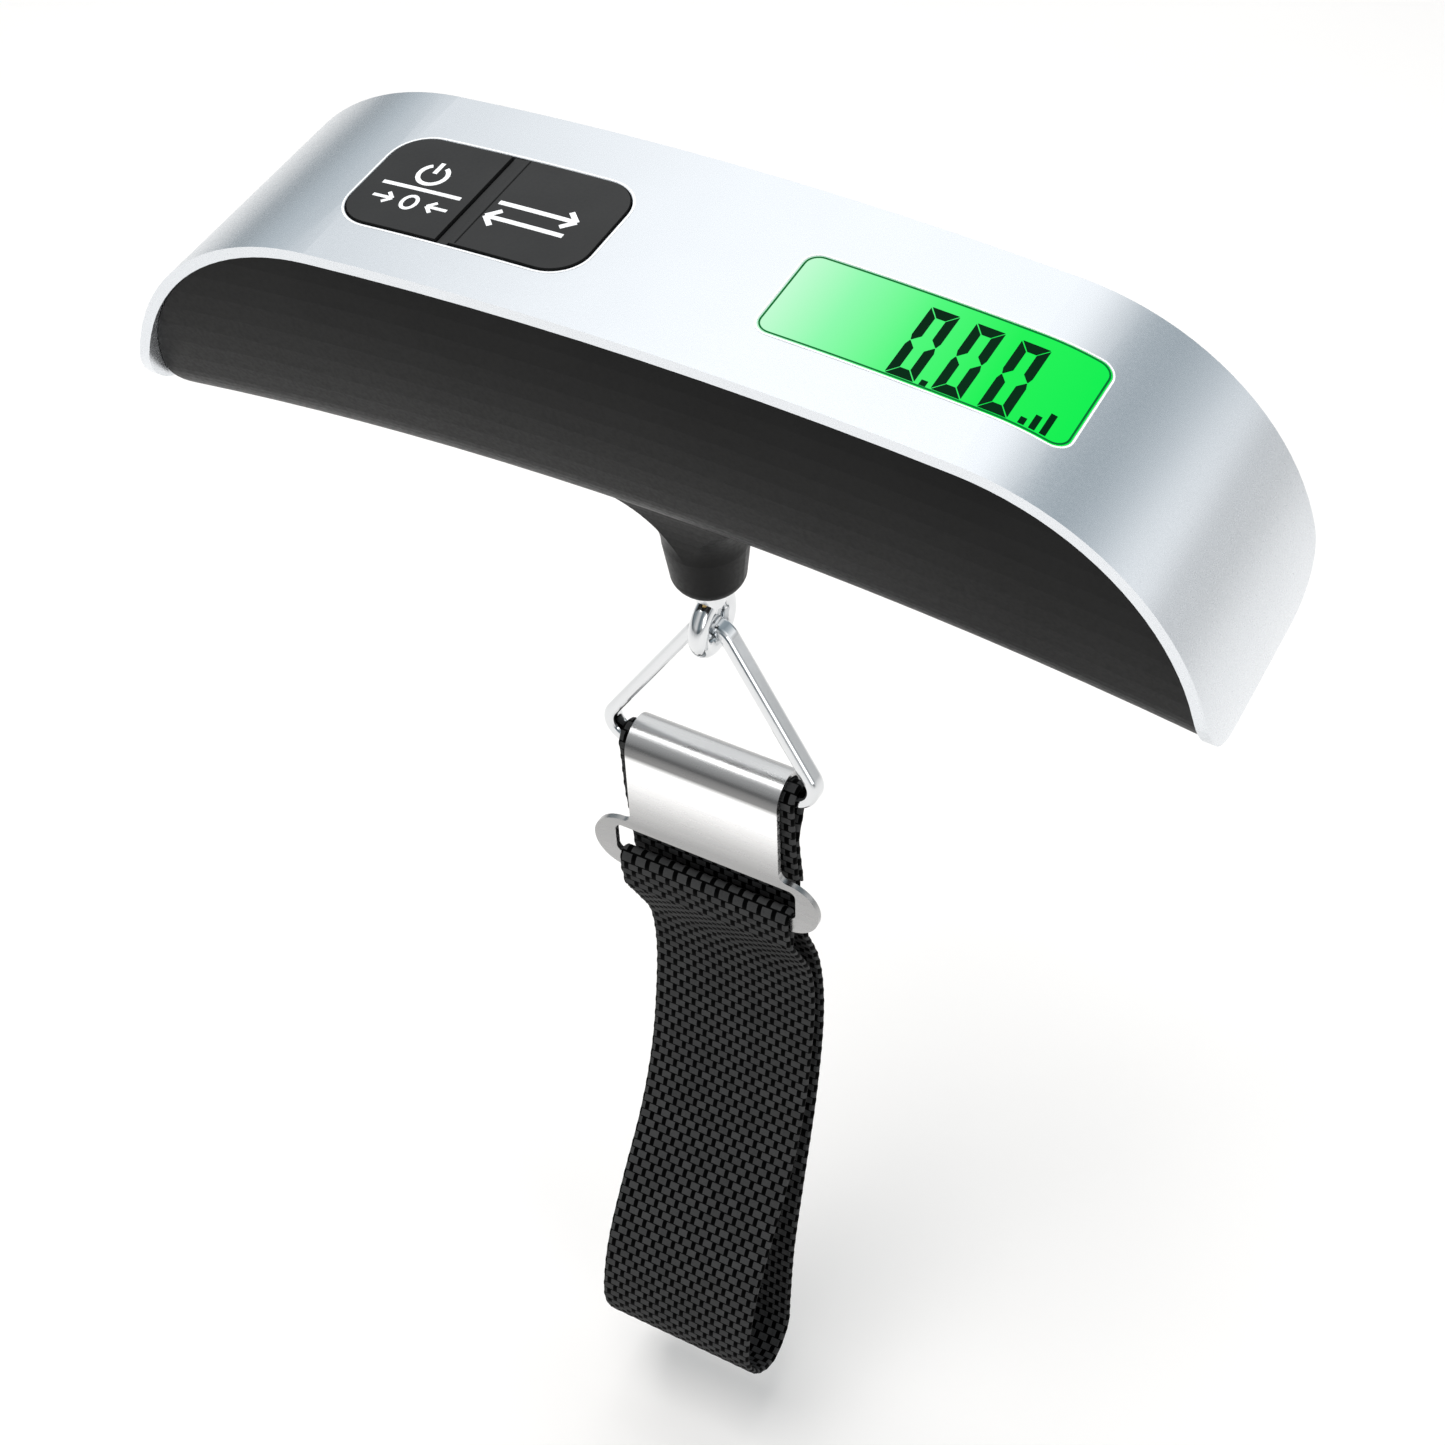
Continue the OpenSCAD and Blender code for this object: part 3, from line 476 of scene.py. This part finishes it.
def webbing_piece(name, run, first, last, body, mat):
    """Closed band along part of a run in the Y-Z plane, woven on both faces."""
    wide = COLUMNS * PER_COLUMN
    core = STRAP_T / 2 - YARN_LIFT
    ring = 2 * (wide + 1)
    points, faces, uvs = [], [], []
    for k in range(first, last + 1):
        a, b = run[max(k - 1, 0)], run[min(k + 1, len(run) - 1)]
        t = (b - a).normalized()
        n = Vector((-t.y, t.x))
        rows = k / PER_ROW
        end = min(1.0, min(k, len(run) - 1 - k) / 2)
        for side in (1, -1):
            for i in range(wide + 1):
                j = i if side > 0 else wide - i
                u = STRAP_W * j / wide
                rim = min(1.0, min(u, STRAP_W - u) / EDGE)
                h = core * (EDGE_THIN + (1 - EDGE_THIN) * rim) + weave(j / PER_COLUMN, rows)
                q = run[k] + n * h * side * (END_THIN + (1 - END_THIN) * end)
                points.append((u - STRAP_W / 2, q.x, q.y))
                uvs.append((j / PER_COLUMN, rows * ROW_UV))
    count = last - first
    for k in range(count):
        for i in range(ring):
            a, b = k * ring + i, k * ring + (i + 1) % ring
            faces.append((a, a + ring, b + ring, b))
    tail = count * ring
    for i in range(wide):
        near, far = i, ring - 1 - i
        faces.append((near, near + 1, far - 1, far))
        faces.append((tail + near, tail + far, tail + far - 1, tail + near + 1))
    obj = new_piece(name, points, faces, mat, body)
    layer = obj.data.uv_layers.new(name="weave")
    for loop in obj.data.loops:
        layer.data[loop.index].uv = uvs[loop.vertex_index]
    return obj


def plate_point(y, z):
    """Place in the Y-Z plane of a point given along the leaning plate, from the bar."""
    c, s = math.cos(PLATE_LEAN), math.sin(PLATE_LEAN)
    return Vector((BAR.x + y * c + z * s, BAR.y - y * s + z * c))


def strap_paths():
    """Middle lines of the webbing: the run from its sewn tail to SPLIT, and on to the slot."""
    pts = [Vector(p) for p in WEBBING]
    sewn = STRAP_T + SEWN_GAP
    front = smooth_run(pts, 0, 2)
    tail = []
    for k in range(len(front) - 1, TAIL_FROM - 1, -1):
        t = (front[min(k + 1, len(front) - 1)] - front[k - 1]).normalized()
        tail.append(front[k] + sewn * Vector((-t.y, t.x)))
    loop = []
    for k in range(LOOP_STEPS + 1):
        a = math.radians(LOOP_FROM + (LOOP_TO - LOOP_FROM) * k / LOOP_STEPS)
        loop.append(BAR + LOOP_MID_R * Vector((math.cos(a), math.sin(a))))
    lower = tail + loop + smooth_run(pts, 0, SPLIT)
    upper = smooth_run(pts, SPLIT, len(pts) - 1)[1:]
    mid, half = -PLATE_MID, STRAP_T / 2 + SEWN_GAP
    wrap_y, wrap_z, wrap_steps = 1.1, 2.1, 16
    legs = [(half, -29.0), (half, -28.0), (0.66, -26.7), (1.02, -25.2)]
    wrap = [plate_point(mid + y, z) for y, z in legs]
    for k in range(wrap_steps + 1):
        a = math.pi * k / wrap_steps
        y, z = wrap_y * math.cos(a), wrap_z * math.sin(a) ** 0.8
        wrap.append(plate_point(mid + y, -SLOT_BAR_V + z))
    wrap += [plate_point(mid - y, z) for y, z in legs[::-1]]
    return lower, upper + wrap


def stitches(name, rows, body, mat):
    """Lock stitches in rows across the webbing; each row gives its place and its normal."""
    points, faces = [], []
    pitch, half, radius, count = 2.4, 0.95, 0.2, 10
    rings, round_steps = 6, 8
    last = rings * round_steps
    for place, normal in rows:
        for i in range(count):
            x0 = (i - (count - 1) / 2) * pitch
            base = len(points)
            for k in range(rings + 1):
                f = k / rings
                x = x0 + half * (2 * f - 1)
                rise = radius * (math.sin(math.pi * f) * 1.1 - 0.35)
                thick = radius * (0.55 + 0.45 * math.sin(math.pi * f))
                for m in range(round_steps):
                    a = 2 * math.pi * m / round_steps
                    side = Vector((-normal.y, normal.x)) * math.cos(a) * thick
                    q = place + normal * (rise + math.sin(a) * thick) + side
                    points.append((x, q.x, q.y))
            for k in range(rings):
                near = base + round_steps * k
                for m in range(round_steps):
                    a, b = near + m, near + (m + 1) % round_steps
                    faces.append((a, b, b + round_steps, a + round_steps))
            faces.append(tuple(base + m for m in reversed(range(round_steps))))
            faces.append(tuple(base + last + m for m in range(round_steps)))
    return new_piece(name, points, faces, mat, body)


# ---------------------------------------------------------------- print on the cover and keys, and painted rim highlights and gap shade
def arch_z(x):
    """Height of the cover's outer face at x: the flat arch, then the turned-down end."""
    if abs(x) < JOIN_X:
        return math.sqrt(TOP_R ** 2 - x * x) - TOP_R
    return END_Z + math.sqrt(END_R ** 2 - (abs(x) - END_X) ** 2)


PRINT_T = 0.05


def print_and_painted_light_strips(name, outlines, lift, mat, body="handle"):
    """Thin raised strip that follows the arch, for print and for painted highlights and shade.
    Each outline is a strip of (left, right) rims.
    """
    points, faces = [], []
    for left, right, closed in outlines:
        base = len(points)
        for a, b in zip(left, right):
            for p, h in ((a, 0), (b, 0), (b, PRINT_T), (a, PRINT_T)):
                points.append((p[0], p[1], arch_z(p[0]) + lift + h))
        n = len(left)
        for k in range(n if closed else n - 1):
            i, j = base + 4 * k, base + 4 * ((k + 1) % n)
            for m in range(4):
                o = (m + 1) % 4
                faces.append((i + m, i + o, j + o, j + m))
        if not closed:
            faces.append((base + 3, base + 2, base + 1, base))
            end = base + 4 * (n - 1)
            faces.append((end, end + 1, end + 2, end + 3))
    return new_piece(name, points, faces, mat, body, smooth=False)


def stroke(a, b, width, steps=6):
    """Straight strip from a to b."""
    a, b = Vector(a), Vector(b)
    t = (b - a).normalized()
    n = Vector((-t.y, t.x)) * width / 2
    rims = [a.lerp(b, k / steps) for k in range(steps + 1)]
    return [p - n for p in rims], [p + n for p in rims], False


def quad(corners, steps=6):
    """Strip between two rims: corners are its left start and end, then its right start and end."""
    a, b, c, d = (Vector(v) for v in corners)
    left = [a.lerp(b, k / steps) for k in range(steps + 1)]
    return left, [c.lerp(d, k / steps) for k in range(steps + 1)], False


def arc(center, radius, width, start, stop, steps=40):
    """Open round strip between two angles."""
    left, right = [], []
    for k in range(steps + 1):
        a = math.radians(start + (stop - start) * k / steps)
        d = Vector((math.cos(a), math.sin(a)))
        left.append(Vector(center) + d * (radius + width / 2))
        right.append(Vector(center) + d * (radius - width / 2))
    return left, right, False


def frame_strip(center, size, radius, width, corner_steps=8, side_steps=20):
    """A rounded rectangle's outline strip; size is that of its outer rim."""
    left, right = [], []
    hx, hy = size[0] / 2 - radius, size[1] / 2 - radius
    corners = [((hx, hy), 0), ((-hx, hy), 90), ((-hx, -hy), 180), ((hx, -hy), 270)]
    for index, ((cx, cy), start) in enumerate(corners):
        for k in range(corner_steps + 1):
            a = math.radians(start + 90 * k / corner_steps)
            d = Vector((math.cos(a), math.sin(a)))
            c = Vector(center) + Vector((cx, cy))
            left.append(c + d * radius)
            right.append(c + d * (radius - width))
        if index in (0, 2):
            for rims in (left, right):
                goal = Vector(rims[-1]) + Vector((-2 * hx if index == 0 else 2 * hx, 0))
                here = Vector(rims[-1])
                rims += [here.lerp(goal, k / side_steps) for k in range(1, side_steps)]
    return left, right, True


def digit_zero(x, y, w, h, wide, tall, gap=0.1):
    """Seven-segment nought: mitred corners, and waists where the middle bar would be."""
    mid, half = h / 2, wide / 2
    shapes = []
    for flip in (1, -1):
        def place(px, py):
            return (x + px, y + mid + flip * (py - mid))

        shapes.append(quad([place(gap, h), place(w - gap, h), place(wide + gap, h - tall),
                            place(w - wide - gap, h - tall)]))
        for mirror in (0, 1):
            def side(px, py):
                return place(w - px if mirror else px, py)

            shapes.append(quad([side(0, h - 1.4 * gap), side(0, mid + 0.9),
                                side(wide, h - tall - gap), side(wide, mid + 1.1)]))
            shapes.append(quad([side(0, mid + 0.9), side(0.4 * half, mid + gap),
                                side(wide, mid + 1.1), side(0.4 * half + 0.1, mid + gap)]))
    return shapes


def arrow(tail, tip, width, head):
    """Straight arrow along the handle: a shaft and two barbs."""
    back = head if tip[0] > tail[0] else -head
    barbs = [stroke(tip, (tip[0] - back, tip[1] + up), width) for up in (head, -head)]
    return [stroke(tail, tip, width)] + barbs


def oval(center, radii, width, steps=32):
    """Closed oval strip."""
    left, right = [], []
    for k in range(steps):
        a = 2 * math.pi * k / steps
        d = Vector((math.cos(a), math.sin(a)))
        for rims, grow in ((left, width / 2), (right, -width / 2)):
            rims.append((center[0] + d.x * (radii[0] + grow), center[1] + d.y * (radii[1] + grow)))
    return left, right, True


KEY_TOP = 0.25
PAD = (-26.9, -0.75)
WINDOW = (32.4, -1.0)
POWER_DOT = (-36.0, 1.3)
POWER_LINE = 0.62
ZERO_Y = -4.5
ZERO_LINE = 0.5
SWAP_LINE = 0.72
DIGIT_XS = (29.65, 35.3, 40.9)
DIGIT_Y = -8.0
BAR_MARKS = ((46.1, -6.8), (47.4, -5.6), (48.7, -4.4))


def add_key_prints_and_gap_shade(mats):
    """Power and zero marks on one key, a swap mark on the other, and a dark line painted as the
    shade in the gap between them.
    """
    x, y = POWER_DOT
    power = [
        arc(POWER_DOT, 1.9, POWER_LINE, 122, 418),
        stroke((x, y + 0.3), (x, y + 2.5), POWER_LINE),
        stroke((-41.3, -1.8), (-30.0, -1.8), POWER_LINE, steps=12),
        oval((-35.7, ZERO_Y), (0.95, 1.25), ZERO_LINE),
    ]
    power += arrow((-41.0, ZERO_Y), (-38.2, ZERO_Y), ZERO_LINE, 1.0)
    power += arrow((-30.3, ZERO_Y), (-33.2, ZERO_Y), ZERO_LINE, 1.0)
    print_and_painted_light_strips("power_legend", power, KEY_TOP, mats["white_print_and_rim_highlight"], "power_key")
    swap = arrow((-25.2, -0.6), (-14.4, -0.6), SWAP_LINE, 1.5)
    swap += arrow((-14.6, -3.5), (-25.4, -3.5), SWAP_LINE, 1.5)
    print_and_painted_light_strips("unit_legend", swap, KEY_TOP, mats["white_print_and_rim_highlight"], "unit_key")
    # Painted shade: a dark line along the unit key's edge where the gap between the keys lies in
    # shade.
    gap_shade_line = [stroke((-26.0, -9.4), (-26.0, 7.9), 0.16)]
    print_and_painted_light_strips("key_gap_shade", gap_shade_line, KEY_TOP, mats["painted_gap_shade"], "unit_key")


def add_cover_print_and_rim_highlights(mats):
    """Edge line of the window, and pale lines round the window and round the key pad, painted as
    highlights on the cover's rims.
    """
    print_and_painted_light_strips("window_line", [frame_strip(WINDOW, (38.3, 14.7), 1.9, 0.22)], 0.0,
            mats["window_ink"])
    # Painted highlights: pale lines where the rims round the window and the key pad catch the
    # light.
    print_and_painted_light_strips("window_rim_highlight", [frame_strip(WINDOW, (39.2, 15.6), 2.3, 0.22)], 0.0,
            mats["white_print_and_rim_highlight"])
    print_and_painted_light_strips("pad_rim_highlight", [frame_strip(PAD, (34.9, 19.1), 5.35, 0.25)], 0.0,
            mats["white_print_and_rim_highlight"])


def add_digits(mats):
    """The reading 0.00 and three bars that rise to the right."""
    digits = []
    for x in DIGIT_XS:
        digits += digit_zero(x, DIGIT_Y, 3.6, 12.3, 1.15, 1.5)
    digits.append(stroke((34.25, -8.05), (34.25, -7.15), 0.8))
    for x, top in BAR_MARKS:
        digits.append(stroke((x, -7.9), (x, top), 0.75))
    print_and_painted_light_strips("display_digits", digits, 0.0, mats["digit_ink"])


# ---------------------------------------------------------------- the scene
add_camera()
mats = make_materials()
add_studio()
dress_nodes(mats)
lower, upper = strap_paths()
run, length = resample(lower + upper, ROW_MM / PER_ROW)
split = min(range(len(run)), key=lambda k: (run[k] - lower[-1]).length)
main = webbing_piece("strap_webbing", run, 0, split, "strap", mats["webbing"])
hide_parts("strap_bar_loop", "strap_rear_run", "strap_bottom_bend", "strap_front_run",
            "rear_stitching")
flap = webbing_piece("strap_hook_end", run, split, len(run) - 1, None, mats["webbing"])
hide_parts("strap_slot_loop", "front_stitching")
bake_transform(flap)
bar_rows = [(Vector((y, z)), Vector((1, 0))) for y, z in ((-3.2, -95.6), (-2.76, -104.4))]
bar_seams = stitches("bar_seams", bar_rows, "strap", mats["thread"])
hook_rows = [(plate_point(STRAP_T - PLATE_MID + 0.02, -28.2), Vector((1, 0)))]
hook_seams = stitches("hook_seams", hook_rows, "hook", mats["thread"])
add_key_prints_and_gap_shade(mats)
add_cover_print_and_rim_highlights(mats)
add_digits(mats)
